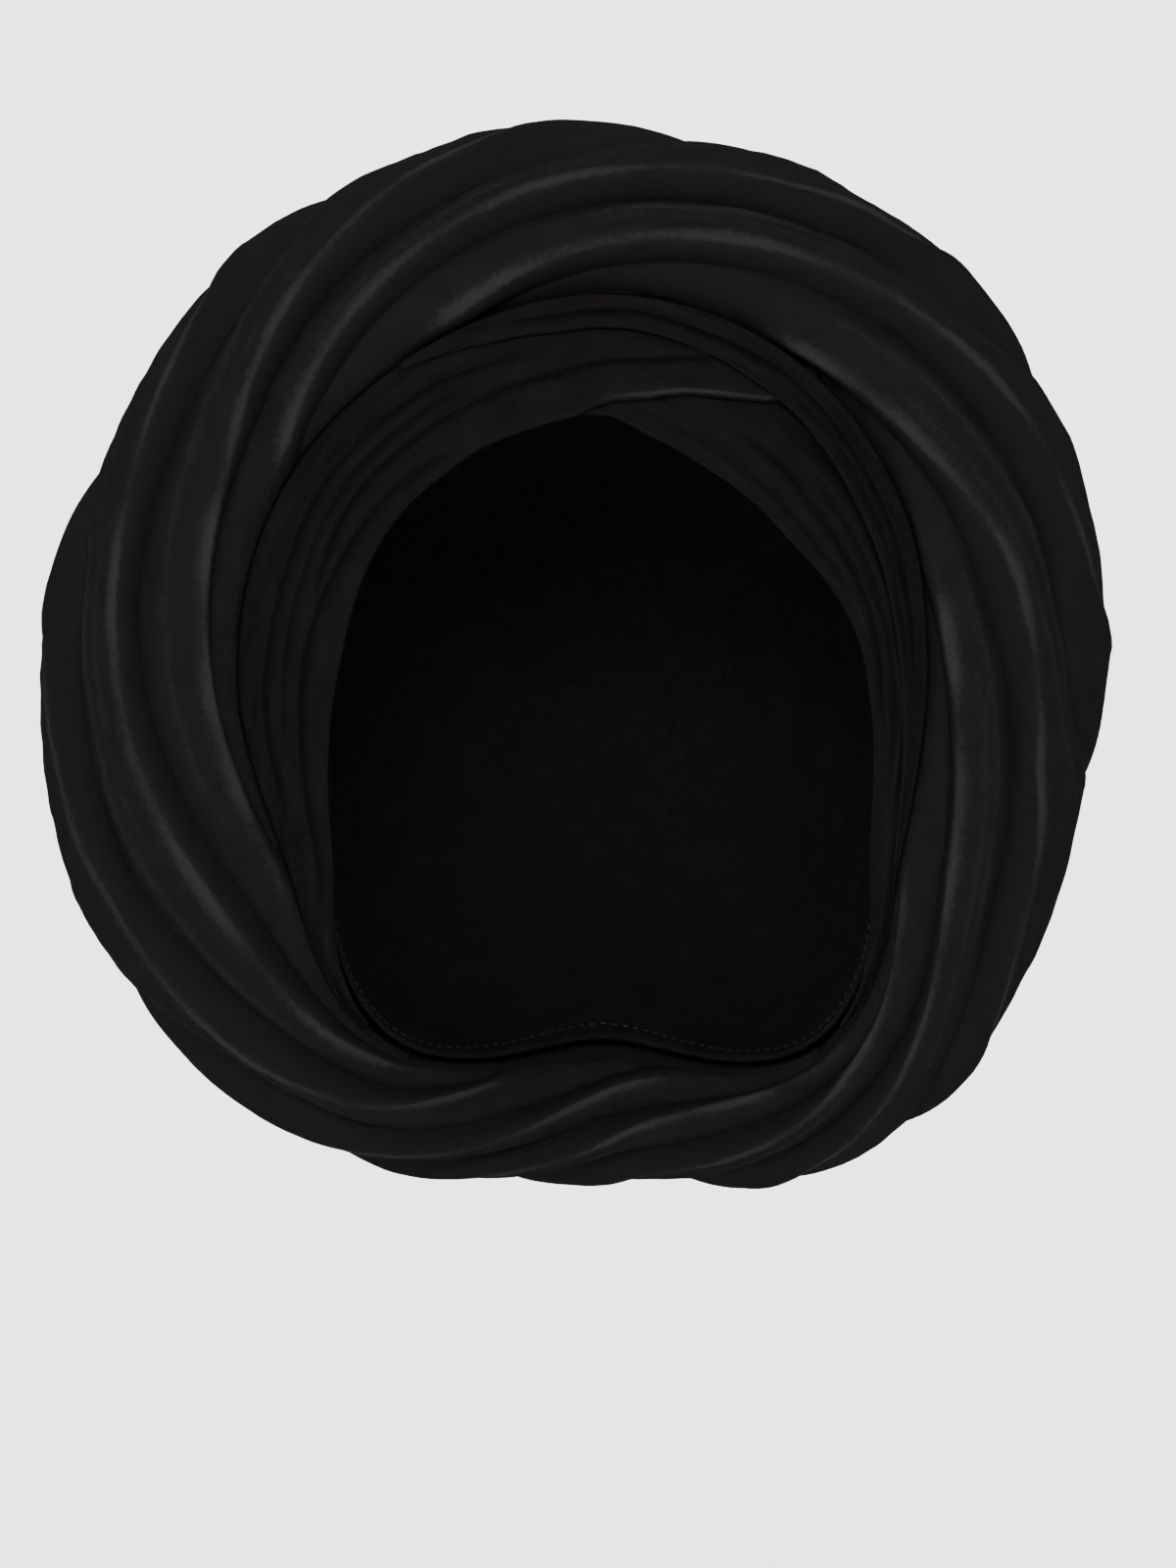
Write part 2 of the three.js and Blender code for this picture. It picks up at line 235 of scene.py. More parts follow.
velvetLook = {
    "shade": (0.0088, 0.0088, 0.0089, 1),
    "deepShade": (0.0065, 0.0065, 0.0066, 1),
    "valleyShade": (0.0069, 0.0069, 0.007, 1),  # painted shade darkening the velvet between two crests
    "paintedCrestHighlight": (0.017, 0.017, 0.0172, 1),  # painted highlight along each crest
    "roughness": (0.62, 0.8),
    "valleyRoughness": 0.95,
    "pressedRoughness": 0.55,
    "specular": 0.0,  # the pile takes up the light, so no gloss
    "sheen": 0.001,
    "sheenRoughness": 0.5,
    "crushSize": 9.0,
    "raggedSize": 1.7,
    "streak": (26.0, 1.3),
    "pileSize": 0.8,
    "pileBump": 0.35,
    "pileDepth": 0.35,
}


def noise(nodes, links, source, size, detail, stretch=None):
    made = nodes.new("ShaderNodeTexNoise")
    socket(made, "Detail", detail)
    socket(made, "Scale", 1 / (size * mm))
    if stretch is not None:
        turned = nodes.new("ShaderNodeMapping")
        socket(turned, "Scale", (size / stretch[0], size / stretch[1], 1))
        links.new(source, turned.inputs["Vector"])
        source = turned.outputs["Vector"]
    links.new(source, made.inputs["Vector"])
    return made.outputs["Fac"]


def shift(nodes, links, value, times, plus, added=None):
    made = nodes.new("ShaderNodeMath")
    made.operation = "MULTIPLY_ADD"
    links.new(value, made.inputs[0])
    made.inputs[1].default_value = times
    made.inputs[2].default_value = plus
    if added is None:
        return made.outputs[0]
    summed = nodes.new("ShaderNodeMath")
    summed.operation = "ADD"
    links.new(made.outputs[0], summed.inputs[0])
    links.new(added, summed.inputs[1])
    return summed.outputs[0]


def spread(nodes, links, value, low, high, toLow=0.0, toHigh=1.0):
    made = nodes.new("ShaderNodeMapRange")
    made.interpolation_type = "SMOOTHSTEP"
    for name, number in (("From Min", low), ("From Max", high), ("To Min", toLow), ("To Max", toHigh)):
        socket(made, name, number)
    links.new(value, made.inputs["Value"])
    return made.outputs["Result"]


def blendOf(nodes, links, share, a, b, kind="RGBA"):
    made = nodes.new("ShaderNodeMix")
    made.data_type = kind
    # the mix node has its own sockets for numbers and for colours
    first, second, result = (6, 7, 2) if kind == "RGBA" else (2, 3, 0)
    links.new(share, made.inputs[0])
    for inputNumber, value in ((first, a), (second, b)):
        if isinstance(value, bpy.types.NodeSocket):
            links.new(value, made.inputs[inputNumber])
        else:
            made.inputs[inputNumber].default_value = value
    return made.outputs[result]


def pieceMark(nodes, name):
    made = nodes.new("ShaderNodeAttribute")
    made.attribute_name = name
    return made.outputs["Fac"]


def clothUv(nodes):
    made = nodes.new("ShaderNodeUVMap")
    made.uv_map = "cloth"
    return made.outputs["UV"]


def raised(nodes, links, height, strength, distance):
    made = nodes.new("ShaderNodeBump")
    socket(made, "Strength", strength)
    socket(made, "Distance", distance * mm)
    links.new(height, made.inputs["Height"])
    return made.outputs["Normal"]


def blackVelvet(name, look):
    made, nodes, links = newMaterial(name)
    out = nodes.new("ShaderNodeOutputMaterial")
    cloth = nodes.new("ShaderNodeBsdfPrincipled")
    uv = clothUv(nodes)
    crush = noise(nodes, links, uv, look["crushSize"], 4.0)
    streaks = noise(nodes, links, uv, 10.0, 3.0, look["streak"])
    ragged = noise(nodes, links, uv, look["raggedSize"], 3.0)
    pile = noise(nodes, links, uv, look["pileSize"], 3.0)
    mottled = shift(nodes, links, crush, 0.6, 0.0, shift(nodes, links, streaks, 0.5, -0.05))
    # painted highlight along the crests, with ragged edges
    raggedCrest = shift(nodes, links, ragged, 1.3, -0.65, pieceMark(nodes, "crest"))
    # painted shade in the valleys between crests, with ragged edges
    raggedValley = shift(nodes, links, ragged, 0.3, -0.15, pieceMark(nodes, "valley"))
    paintedHighlight = spread(nodes, links, raggedCrest, 0.1, 1.05)
    valley = spread(nodes, links, raggedValley, 0.0, 1.0)
    colour = blendOf(nodes, links, spread(nodes, links, mottled, 0.25, 0.8), look["deepShade"], look["shade"])
    colour = blendOf(nodes, links, valley, colour, look["valleyShade"])
    colour = blendOf(nodes, links, paintedHighlight, colour, look["paintedCrestHighlight"])
    rough = spread(nodes, links, mottled, 0.3, 0.8, look["roughness"][1], look["roughness"][0])
    rough = blendOf(nodes, links, valley, rough, look["valleyRoughness"], "FLOAT")
    rough = blendOf(nodes, links, paintedHighlight, rough, look["pressedRoughness"], "FLOAT")
    socket(cloth, "Specular IOR Level", look["specular"])
    socket(cloth, "Sheen Weight", look["sheen"])
    socket(cloth, "Sheen Roughness", look["sheenRoughness"])
    links.new(colour, cloth.inputs["Base Color"])
    links.new(rough, cloth.inputs["Roughness"])
    links.new(raised(nodes, links, pile, look["pileBump"], look["pileDepth"]), cloth.inputs["Normal"])
    links.new(cloth.outputs["BSDF"], out.inputs["Surface"])
    return made


bandLook = {
    "shade": (0.0066, 0.0058, 0.0058, 1),
    "deepShade": (0.0042, 0.0036, 0.0036, 1),
    "grooveShade": (0.0027, 0.0023, 0.0023, 1),
    "paintedEdgeHighlight": (0.017, 0.0158, 0.0158, 1),  # painted highlight along the edge that crosses the forehead
    "roughness": (0.72, 0.9),
    "specular": 0.02,
    "sheen": 0.002,
    "weaveSize": 0.6,
    "weaveBump": 0.3,
    "weaveDepth": 0.25,
    "weaveWander": 1.2,
    "patchSize": 12.0,
    "streak": (30.0, 1.6),
}


def bandCloth(name, look):
    made, nodes, links = newMaterial(name)
    out = nodes.new("ShaderNodeOutputMaterial")
    cloth = nodes.new("ShaderNodeBsdfPrincipled")
    uv = clothUv(nodes)
    patches = noise(nodes, links, uv, look["patchSize"], 5.0)
    streaks = noise(nodes, links, uv, 10.0, 3.0, look["streak"])
    mottled = shift(nodes, links, patches, 0.55, 0.0, shift(nodes, links, streaks, 0.6, -0.08))
    threads = []
    for direction in ("X", "Y"):
        wave = nodes.new("ShaderNodeTexWave")
        wave.wave_type = "BANDS"
        wave.bands_direction = direction
        socket(wave, "Scale", math.pi / 10 / (look["weaveSize"] * mm))
        socket(wave, "Distortion", look["weaveWander"])
        socket(wave, "Detail", 1.0)
        links.new(uv, wave.inputs["Vector"])
        threads.append(wave.outputs["Fac"])
    weave = nodes.new("ShaderNodeMath")
    weave.operation = "MAXIMUM"
    links.new(threads[0], weave.inputs[0])
    links.new(threads[1], weave.inputs[1])
    colour = blendOf(nodes, links, spread(nodes, links, mottled, 0.25, 0.8), look["deepShade"], look["shade"])
    # painted shade in the creases
    colour = blendOf(nodes, links, pieceMark(nodes, "groove"), colour, look["grooveShade"])
    # painted highlight along the band's edge
    colour = blendOf(nodes, links, pieceMark(nodes, "edge"), colour, look["paintedEdgeHighlight"])
    rough = spread(nodes, links, mottled, 0.3, 0.8, look["roughness"][1], look["roughness"][0])
    socket(cloth, "Specular IOR Level", look["specular"])
    socket(cloth, "Sheen Weight", look["sheen"])
    links.new(colour, cloth.inputs["Base Color"])
    links.new(rough, cloth.inputs["Roughness"])
    links.new(raised(nodes, links, weave.outputs[0], look["weaveBump"], look["weaveDepth"]), cloth.inputs["Normal"])
    links.new(cloth.outputs["BSDF"], out.inputs["Surface"])
    return made


velvet = blackVelvet("blackVelvet", velvetLook)
bandBlack = bandCloth("bandCloth", bandLook)

print("stage: halo folds")

# Each fold's crest line: its turn where it leaves the bands, at 15, 30, 45 and 60 round, on the rim and at the back
roundSteps = (0, 15, 30, 45, 60, 90, 180)
crestLines = (
    (10, 19, 29, 44, 88, 102.3, 150),
    (20, 38, 77, 116, 132, 141.3, 190),
    (30, 112, 134.5, 153, 167, 178.9, 228),
    (115, 136, 163, 194, 215, 224.4, 270),
    (142, 176, 211, 238, 259, 268.9, 313),
    (198, 236, 259, 296, 311, 318.7, 355),
    (232, 286, 321, 331, 338, 345, 385),
    (296, 326, 337, 346, 355, 365, 410),
    (320, 342, 355, 363, 372, 383.6, 435),
    (345, 358, 369, 378, 388, 400.3, 463),
)
foldForm = {
    "rowTurn": 1.0,
    "lipColumns": 10,
    "riseColumns": 18,
    "fallColumns": 34,
    "endColumns": 5,
    "backColumns": 14,
    "crestFront": 7.5,
    "crestRim": 5.0,
    "crestBack": 4.0,
    "crestRise": 8.0,
    "crestTuck": 25.0,
    "crestStart": 15.0,
    "crestNarrow": 0.12,  # how near the crest comes to the fold's edges, as parts of its width
    "crestWide": 0.7,
    "fullWidth": 26.0,
    "startTurns": 10.0,  # over which a fold grows to its full form, and sinks away again
    "endTurns": 18.0,
    "slimWidth": 9.0,  # a fold narrower than this has a smaller lip
    "valleyPlace": 0.3,
    "leastWidth": 1.4,
    "lipOver": 0.3,
    "lipHeight": -0.2,
    "lipUnder": 2.8,
    "lipDeep": 1.7,
    "tuckReach": 1.8,
    "tuckDeep": 0.5,
    "openValley": 0.6,
    "ridgePart": 0.34,
    "ridgeWidth": 5.5,
    "coreGap": 2.2,
    "coreStart": 14.0,
    "coreEnd": 61.0,
    "napeGap": 1.2,
    "napeStart": 7.0,
    "glowInner": 1.3,  # how wide the painted highlight is on either side of the crest
    "glowOuter": 2.8,
    "pleatGlow": 0.42,
    "fill": 0.45,
}
# Small pleats that run along a fold: the fold, the place across its fall (0 crest, 1 outer edge), its height and
# half width, and the turns where it starts and ends
pleats = (
    (0, 0.45, 0.8, 2.6, 20, 100), (0, 0.75, 0.6, 2.2, 40, 130),
    (1, 0.35, 0.7, 2.4, 60, 150), (1, 0.68, 1.0, 3.0, 30, 120), (1, 0.85, 0.5, 2.0, 100, 175),
    (2, 0.3, 0.7, 2.6, 115, 200), (2, 0.6, 0.9, 3.0, 60, 165), (2, 0.82, 0.6, 2.2, 120, 215),
    (3, 0.4, 0.8, 2.8, 130, 215), (3, 0.7, 0.9, 2.6, 160, 250),
    (4, 0.45, 0.6, 2.6, 165, 240), (4, 0.72, 1.3, 2.4, 168, 215), (4, 0.8, 0.7, 2.4, 220, 300),
    (5, 0.35, 0.8, 2.8, 215, 300), (5, 0.65, 0.9, 3.0, 200, 280), (5, 0.85, 0.6, 2.2, 270, 345),
    (6, 0.4, 0.8, 3.2, 260, 335), (6, 0.7, 0.7, 2.6, 240, 320), (6, 0.6, 0.7, 2.6, 325, 380),
    (7, 0.45, 0.8, 2.8, 320, 370), (7, 0.75, 0.6, 2.4, 330, 395),
    (8, 0.5, 0.8, 2.6, 345, 400), (9, 0.5, 0.8, 2.6, 365, 430),
)


def crestTurns(index):
    laps, inLap = divmod(index, len(crestLines))
    return np.array(crestLines[inLap], float) + laps * fullTurn


def valleyTurns(index):
    return mix(crestTurns(index), crestTurns(index + 1), foldForm["valleyPlace"])


def lineRound(turns, turn):
    inside = rising(turns, roundSteps, turn)
    return np.where(turn <= turns[0], 0.0, np.where(turn >= turns[-1], 180.0, inside))


def bell(offset, before, after):
    # 1 at no offset, falling off over its own width on each side
    return np.exp(-((offset / np.where(offset < 0, before, after)) ** 2))


def slant(turns, turn):
    # how much longer a length along the fold is than its turn shows
    rise = (lineRound(turns, turn + 3) - lineRound(turns, turn - 3)) / 6
    return np.hypot(1, np.minimum(rise / 2.2, 1.6))


def skinPoint(turn, angleRound, height):
    # the halo's skin raised along its own normal; outside 0 to 180 it runs on straight
    inRange = np.clip(angleRound, 0.4, 179.6)
    radius, depth = haloSkin(turn, inRange)
    radiusA, depthA = haloSkin(turn, np.clip(inRange - 1.2, 0, 180))
    radiusB, depthB = haloSkin(turn, np.clip(inRange + 1.2, 0, 180))
    length = np.hypot(radiusB - radiusA, depthB - depthA)
    runRadius, runDepth = (radiusB - radiusA) / length, (depthB - depthA) / length
    over = angleRound - inRange
    return radius + over * runRadius + height * runDepth, depth + over * runDepth - height * runRadius


def foldRows(index):
    form = foldForm
    near, far = valleyTurns(index), valleyTurns(index - 1)
    turn = np.arange(math.ceil(far[0]), math.floor(near[-1]), form["rowTurn"])
    inner, outer = lineRound(near, turn), lineRound(far, turn)
    return turn[outer - inner > form["leastWidth"]]


def haloFold(index):
    form = foldForm
    near, far, crest = valleyTurns(index), valleyTurns(index - 1), crestTurns(index)
    turn = foldRows(index)[:, None]
    inner, outer = lineRound(near, turn), lineRound(far, turn)
    width = outer - inner
    crestAt = np.clip((lineRound(crest, turn) - inner) / width, form["crestNarrow"], form["crestWide"]) * width
    grown = easeStep(turn, crest[0], crest[0] + form["crestStart"])
    ending = easeStep(near[-1] - turn, 0, form["endTurns"]) * easeStep(turn - far[0], 0, form["startTurns"])
    scale = grown * np.minimum(1, width / form["fullWidth"])
    peak = inner + crestAt
    rise = np.minimum(1, peak / form["crestRise"])
    tallFront = rise * mix(form["crestFront"], form["crestRim"], peak / 90)
    tallBack = mix(form["crestRim"], form["crestBack"], (peak - 90) / 90)
    tallBack = tallBack * np.minimum(1, (180 - peak) / form["crestTuck"])
    tall = np.where(peak <= 90, tallFront, tallBack) * scale
    slim = np.minimum(1, width / form["slimWidth"]) * ending
    lip = easeStep(inner, 0.5, 9) * slim
    nearSlant, farSlant = slant(near, turn), slant(far, turn)

    # across the fold: under the lip, up its rounded nose to the crest, then down and under the next fold
    under = np.linspace(-1, 0, form["lipColumns"], endpoint=False)[None, :]
    bend = np.radians(90 * -under)
    noseAt = mix(0.15, -form["lipOver"] * nearSlant, lip)
    noseHeight = mix(0.0, form["lipHeight"], lip)
    underAt = noseAt + mix(-2.6, form["lipUnder"] + form["lipOver"], lip) * (1 - np.cos(bend))
    underHeight = noseHeight - mix(0.2, form["lipDeep"] + form["lipHeight"], lip) * np.sin(bend)
    upShare = np.linspace(0, 1, form["riseColumns"], endpoint=False)[None, :]
    climb = np.radians(90 * upShare)
    riseAt = noseAt + (crestAt - noseAt) * mix(1 - np.cos(climb) ** 1.3, upShare, form["openValley"])
    riseHeight = noseHeight + (tall - noseHeight) * np.sin(climb) ** 1.3
    tuckOn = easeStep(180 - outer, 0.5, 8)
    reach = width + form["tuckReach"] * farSlant * slim * tuckOn
    fall = np.linspace(0, 1, form["fallColumns"])[None, :]
    fallAt = mix(crestAt, reach, fall)
    down = np.clip((fallAt - crestAt) / (width - crestAt), 0, 1)
    sink = form["tuckDeep"] * easeStep(fallAt, width - 3 * farSlant * slim, width + 2 * farSlant * slim) * slim * tuckOn
    ridge = np.exp(-((np.maximum(fallAt - crestAt, 0) / form["ridgeWidth"]) ** 1.5)) * (1 - down)
    slope = np.cos(math.pi / 2 * down) ** 1.2
    fallHeight = tall * mix(slope, ridge, form["ridgePart"]) - sink
    at = np.concatenate([underAt, riseAt, fallAt], axis=1)
    height = np.concatenate([underHeight, riseHeight, fallHeight], axis=1)

    runAlong = np.broadcast_to(np.radians(turn) * foldReach, at.shape)
    onFall = np.clip((at - crestAt) / (width - crestAt), -1, 1)
    bare = np.concatenate([np.zeros_like(underAt), 0.4 * np.sin(climb) * np.ones_like(riseAt),
                            easeStep(1 - down, 0.0, 0.25)], axis=1) * slim
    pleatGlow = np.zeros_like(height)
    for fold, across, pleatHeight, halfWidth, start, stop in pleats:
        if fold != index:
            continue
        wander = 0.05 * np.sin(turn / 17 + across * 9)
        offset = (onFall - across - wander) * (width - crestAt)
        shape = bell(offset, 0.45 * halfWidth, 1.5 * halfWidth)
        stay = easeStep(turn, start, start + 18) * easeStep(stop - turn, 0, 18)
        height = height + pleatHeight * shape * stay * bare
        # a weaker painted highlight along each pleat
        pleatLight = form["pleatGlow"] * pleatHeight * bell(offset, 1.5, 1.5)
        pleatGlow = np.maximum(pleatGlow, pleatLight * stay * bare)
    dents = 0.32 * waves(runAlong, at, 40 + index, 34, 60) + 0.12 * waves(runAlong, at, 70 + index, 11, 30)
    height = height + bare * dents
    angleRound = inner + at
    radius, depth = skinPoint(turn, angleRound, height)
    fromCrest = at - crestAt
    # painted highlight along each crest, broken up along its length, fading towards the rim and on low crests
    patchy = 0.82 + 0.36 * waves(np.radians(turn) * foldReach, 0, 90 + index, 52, 1e9, 4)
    facing = mix(0.2, 1, easeStep(100 - peak, 0, 50))
    glow = bell(fromCrest, form["glowInner"], form["glowOuter"])
    glow = glow * np.clip(patchy, 0.2, 1.15) * np.minimum(1, tall / 4) * facing
    glow = np.maximum(glow, pleatGlow)
    # painted shade: darker just inside each crest and at the fold's outer edge, where the valleys lie in shade
    inside = easeStep(-fromCrest, 1.0, 4.5) * (1 - 0.8 * easeStep(-fromCrest, 6, 16))
    shade = np.where(fromCrest < 0, inside, 0.8 * easeStep(onFall, 0.8, 1.0))

    # its underside, back along the cap, a little further off at the nape
    nape = np.cos(np.radians(turn / 2)) ** 6
    backAngle = mix(outer, inner, np.linspace(0, 1, form["backColumns"])[None, :])
    coreStart = faceRound(turn) + form["coreStart"] - form["napeStart"] * nape
    coreGrown = headForm["capThick"] + form["coreGap"] + form["napeGap"] * nape
    coreRadius, coreDepth = headPoint(turn, mix(coreStart, form["coreEnd"], backAngle / 180), coreGrown)

    # the rolled end where the fold is tucked in at the back
    t = np.linspace(0, 1, form["endColumns"] + 2)[None, 1:-1]
    curl = 1 - tuckOn
    aRadius, aDepth = radius[:, -1:], depth[:, -1:]
    bRadius, bDepth = coreRadius[:, :1], coreDepth[:, :1]
    middleRadius = mix((aRadius + bRadius) / 2, aRadius - 9, curl)
    middleDepth = mix((aDepth + bDepth) / 2, aDepth + 1.5, curl)
    endRadius = (1 - t) ** 2 * aRadius + 2 * t * (1 - t) * middleRadius + t * t * bRadius
    endDepth = (1 - t) ** 2 * aDepth + 2 * t * (1 - t) * middleDepth + t * t * bDepth

    ringRadius = np.concatenate([radius, endRadius, coreRadius], axis=1)
    ringDepth = np.concatenate([depth, endDepth, coreDepth], axis=1)
    rings = place(turn, ringRadius, ringDepth)
    points, faces = closedTube(rings)
    uv = ringCloth(rings, np.radians(turn) * foldReach * mm + 3.1 * index)
    # the marks carry the painted crest highlight and the painted valley shade
    marks = ringMarks(rings, crest=glow, valley=shade)
    piece = meshPiece(f"velvetFold{index + 1}", points, faces, velvet, marks, uv)
    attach(piece, "root")
    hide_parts(f"halo_fold_{index + 1}")
    return piece


folds = [haloFold(index) for index in range(len(crestLines))]

print("stage: forehead bands")

# turn, inner and outer edge as parts of the way from the face edge to the halo, and the layer it lies in
bands = {
    "rightBand": {
        "node": "right_inner_wrap",
        "rows": ((152, 0.8, 0.96, 0), (166, 0.3, 0.96, 0), (176, 0, 0.96, 0), (240, 0, 0.96, 0),
                 (308, 0, 0.95, 0), (326, 0.7, 0.95, 0)),
        "flat": (0.028, 0.25),
    },
    "leftBand": {
        "node": "left_inner_wrap",
        "rows": ((34, 0.7, 0.95, 0), (52, 0, 0.95, 0), (134, 0, 0.96, 0), (150, 0, 0.96, 1),
                 (174, 0, 0.96, 1), (180.3, 0.1, 0.96, 1), (188.8, 0.24, 0.96, 1), (196, 0.37, 0.96, 1),
                 (204, 0.49, 0.96, 1), (210.3, 0.61, 0.96, 1), (218, 0.85, 0.96, 1)),
        "flat": (0.03, 0.26),
    },
    "topBand": {
        "node": "top_inner_wrap",
        "rows": ((146, 0.955, 0.97, 1.6), (152, 0.89, 0.97, 1.9), (160, 0.8, 0.97, 2), (172, 0.72, 0.97, 2),
                 (184, 0.74, 0.97, 2), (200, 0.72, 0.97, 2), (222, 0.68, 0.97, 2), (240, 0.62, 0.97, 1),
                 (275, 0.58, 0.97, 1), (294, 0.76, 0.95, 0.8), (304, 0.92, 0.95, 0.5)),
        "flat": (0.012, 0.24),
    },
}
bandForm = {
    "rowTurn": 0.75,
    "columns": 64,
    "thick": 1.7,
    "edgeColumns": 5,
    "backLift": 0.5,  # how far the band's face lies behind the front of its layer
    "creaseNose": 1.6,
    "creaseFade": 7.0,
    "creaseHollow": 1.3,
    "edgeHighlightWidth": 0.55,
    "edgeHighlightTurns": (176, 190, 210, 218),
    # how far the cloth's edge is from an even arch, which gives the point over the forehead
    "archTurns": (130, 142, 152, 163.6, 170, 176, 181, 186, 189.6, 200.8, 213, 222, 234.6, 244, 254, 263, 275),
    "archShift": (0, -1, -0.7, -1.3, -0.9, 0.1, 0.2, -1.2, -2.1, -1.7, -1, -1, -1.6, -0.4, 0.8, 1.2, 0),
}
# Creases pressed into a band: the band, the height of the step, and its line as turn and part pairs
creases = (
    ("leftBand", 1.5, ((100, 0.34), (112, 0.36), (125, 0.39), (140, 0.37), (155, 0.35), (163.6, 0.37),
                       (170, 0.36), (176.6, 0.39), (183, 0.45), (191.8, 0.56), (201, 0.73), (206.6, 0.83))),
    ("leftBand", 1.2, ((60, 0.74), (85, 0.72), (95, 0.69), (108, 0.66), (119, 0.68), (135, 0.7), (150, 0.66),
                       (160, 0.6), (172, 0.58))),
    ("leftBand", 1.0, ((50, 0.3), (65, 0.32), (85, 0.33), (98, 0.31), (112, 0.22), (130, 0.16), (150, 0.1))),
    ("leftBand", 0.8, ((70, 0.5), (90, 0.52), (110, 0.5), (130, 0.54), (146, 0.52), (160, 0.48))),
    ("rightBand", 1.3, ((206, 0.3), (210, 0.32), (220, 0.33), (232, 0.31), (244, 0.3), (255, 0.28),
                        (270, 0.2), (285, 0.12))),
    ("rightBand", 1.3, ((212, 0.6), (222, 0.64), (232, 0.63), (243, 0.61), (252, 0.6), (262, 0.64),
                        (272, 0.7), (284, 0.7), (300, 0.6))),
    ("rightBand", 0.9, ((222, 0.46), (236, 0.45), (250, 0.44), (264, 0.44), (278, 0.42), (296, 0.36))),
    ("rightBand", 0.6, ((190, 0.1), (205, 0.13), (222, 0.14), (240, 0.13), (258, 0.1))),
    ("topBand", 1.0, ((160, 0.9), (172, 0.84), (184, 0.87), (196, 0.84), (210, 0.86), (224, 0.84),
                      (240, 0.82), (256, 0.8), (275, 0.82))),
    ("topBand", 0.8, ((205, 0.76), (222, 0.76), (240, 0.72), (258, 0.68), (275, 0.68))),
)


def bandBed(turn, part):
    radius = mix(section("faceRadius", turn), section("bandRadius", turn), part)
    depth = mix(section("faceDepth", turn), section("bandDepth", turn), part)
    return radius, depth - headForm["bandCrown"] * np.clip(np.sin(np.pi * np.clip(part, 0, 1)), 0, 1) ** 1.5


def bandColumn(rows, column, turn):
    # edges run straight between the rows, and the layer changes softly
    turns = np.array([row[0] for row in rows], float)
    values = np.array([row[column] for row in rows], float)
    if column < 3:
        return np.interp(turn, turns, values)
    k = np.clip(np.searchsorted(turns, turn, side="left") - 1, 0, len(turns) - 2)
    return mix(values[k], values[k + 1], easeStep(turn, turns[k], turns[k + 1]))


def headBand(name, band):
    form = bandForm
    rows = band["rows"]
    turn = np.arange(rows[0][0], rows[-1][0] + 0.01, form["rowTurn"])[:, None]
    inner, outer = bandColumn(rows, 1, turn), bandColumn(rows, 2, turn)
    layer = bandColumn(rows, 3, turn)
    t = np.linspace(0, 1, form["columns"])[None, :]
    part = mix(inner, outer, t)
    span = section("bandRadius", turn) - section("faceRadius", turn)
    wide = np.maximum(np.hypot(span, 4), 6)
    lift, groove = np.zeros_like(part), np.zeros_like(part)
    for owner, stepHeight, line in creases:
        if owner != name:
            continue
        line = np.array(line, float)
        at = np.interp(turn, line[:, 0], line[:, 1])
        stay = easeStep(turn, line[0, 0], line[0, 0] + 12) * easeStep(line[-1, 0] - turn, 0, 12)
        offset = (part - at) * wide
        nose = 1 - np.clip(offset / form["creaseNose"], 0, 1)
        rounded = np.sqrt(np.clip(1 - nose ** 2, 0, 1)) * np.exp(-np.clip(offset, 0, None) / form["creaseFade"])
        hollow = np.exp(-((np.minimum(offset, 0) / form["creaseHollow"]) ** 2)) * (offset < 0)
        lift = lift + stepHeight * (rounded - 0.3 * hollow) * stay
        # painted shade along the foot of each crease
        groove = np.maximum(groove, 0.85 * stay * np.minimum(1, stepHeight) * bell(offset + 0.4, 1.2, 1.2))
    along = np.broadcast_to(np.radians(turn) * bandReach, part.shape)
    acrossAt = part * wide
    edge = easeStep(t, 0, 0.06) * easeStep(1 - t, 0, 0.06)
    dents = 0.22 * waves(along, acrossAt, len(name) + 5, 60, 7) + 0.12 * waves(along, acrossAt, len(name) + 9, 26, 5)
    lift = lift + edge * dents

    # the face of the band, its rounded edges and its back
    radius, depth = bandBed(turn, part)
    radius = radius + np.interp(turn, form["archTurns"], form["archShift"]) * (1 - np.clip(part, 0, 1)) ** 2
    front = depth - layer * headForm["layerPitch"] - headForm["bandThick"] - lift + form["backLift"]
    bend = np.radians(np.linspace(0, 180, form["edgeColumns"] + 2)[1:-1])[None, :]
    half = form["thick"] / 2
    outAt, inAt = front[:, -1:] + half, front[:, :1] + half
    ringRadius = np.concatenate([
        radius, radius[:, -1:] + half * np.sin(bend), radius[:, ::-1], radius[:, :1] - half * np.sin(bend)], axis=1)
    ringDepth = np.concatenate([
        front, outAt - half * np.cos(bend), front[:, ::-1] + form["thick"], inAt + half * np.cos(bend)], axis=1)
    rings = place(turn, ringRadius, ringDepth)
    points, faces = closedTube(rings)
    uv = ringCloth(rings, np.radians(turn) * bandReach * mm)
    # painted highlight along the left band's inner edge where it crosses the forehead
    starts, full, fades, ends = form["edgeHighlightTurns"]
    edgeHighlight = bell((part - inner) * wide - 0.5, form["edgeHighlightWidth"], form["edgeHighlightWidth"])
    edgeHighlight = edgeHighlight * easeStep(turn, starts, full) * easeStep(ends - turn, 0, ends - fades) * (name == "leftBand")
    piece = meshPiece(name, points, faces, bandBlack, ringMarks(rings, groove=groove, edge=edgeHighlight), uv)
    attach(piece, "root")
    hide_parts(band["node"])
    return piece


headBands = [headBand(name, band) for name, band in bands.items()]

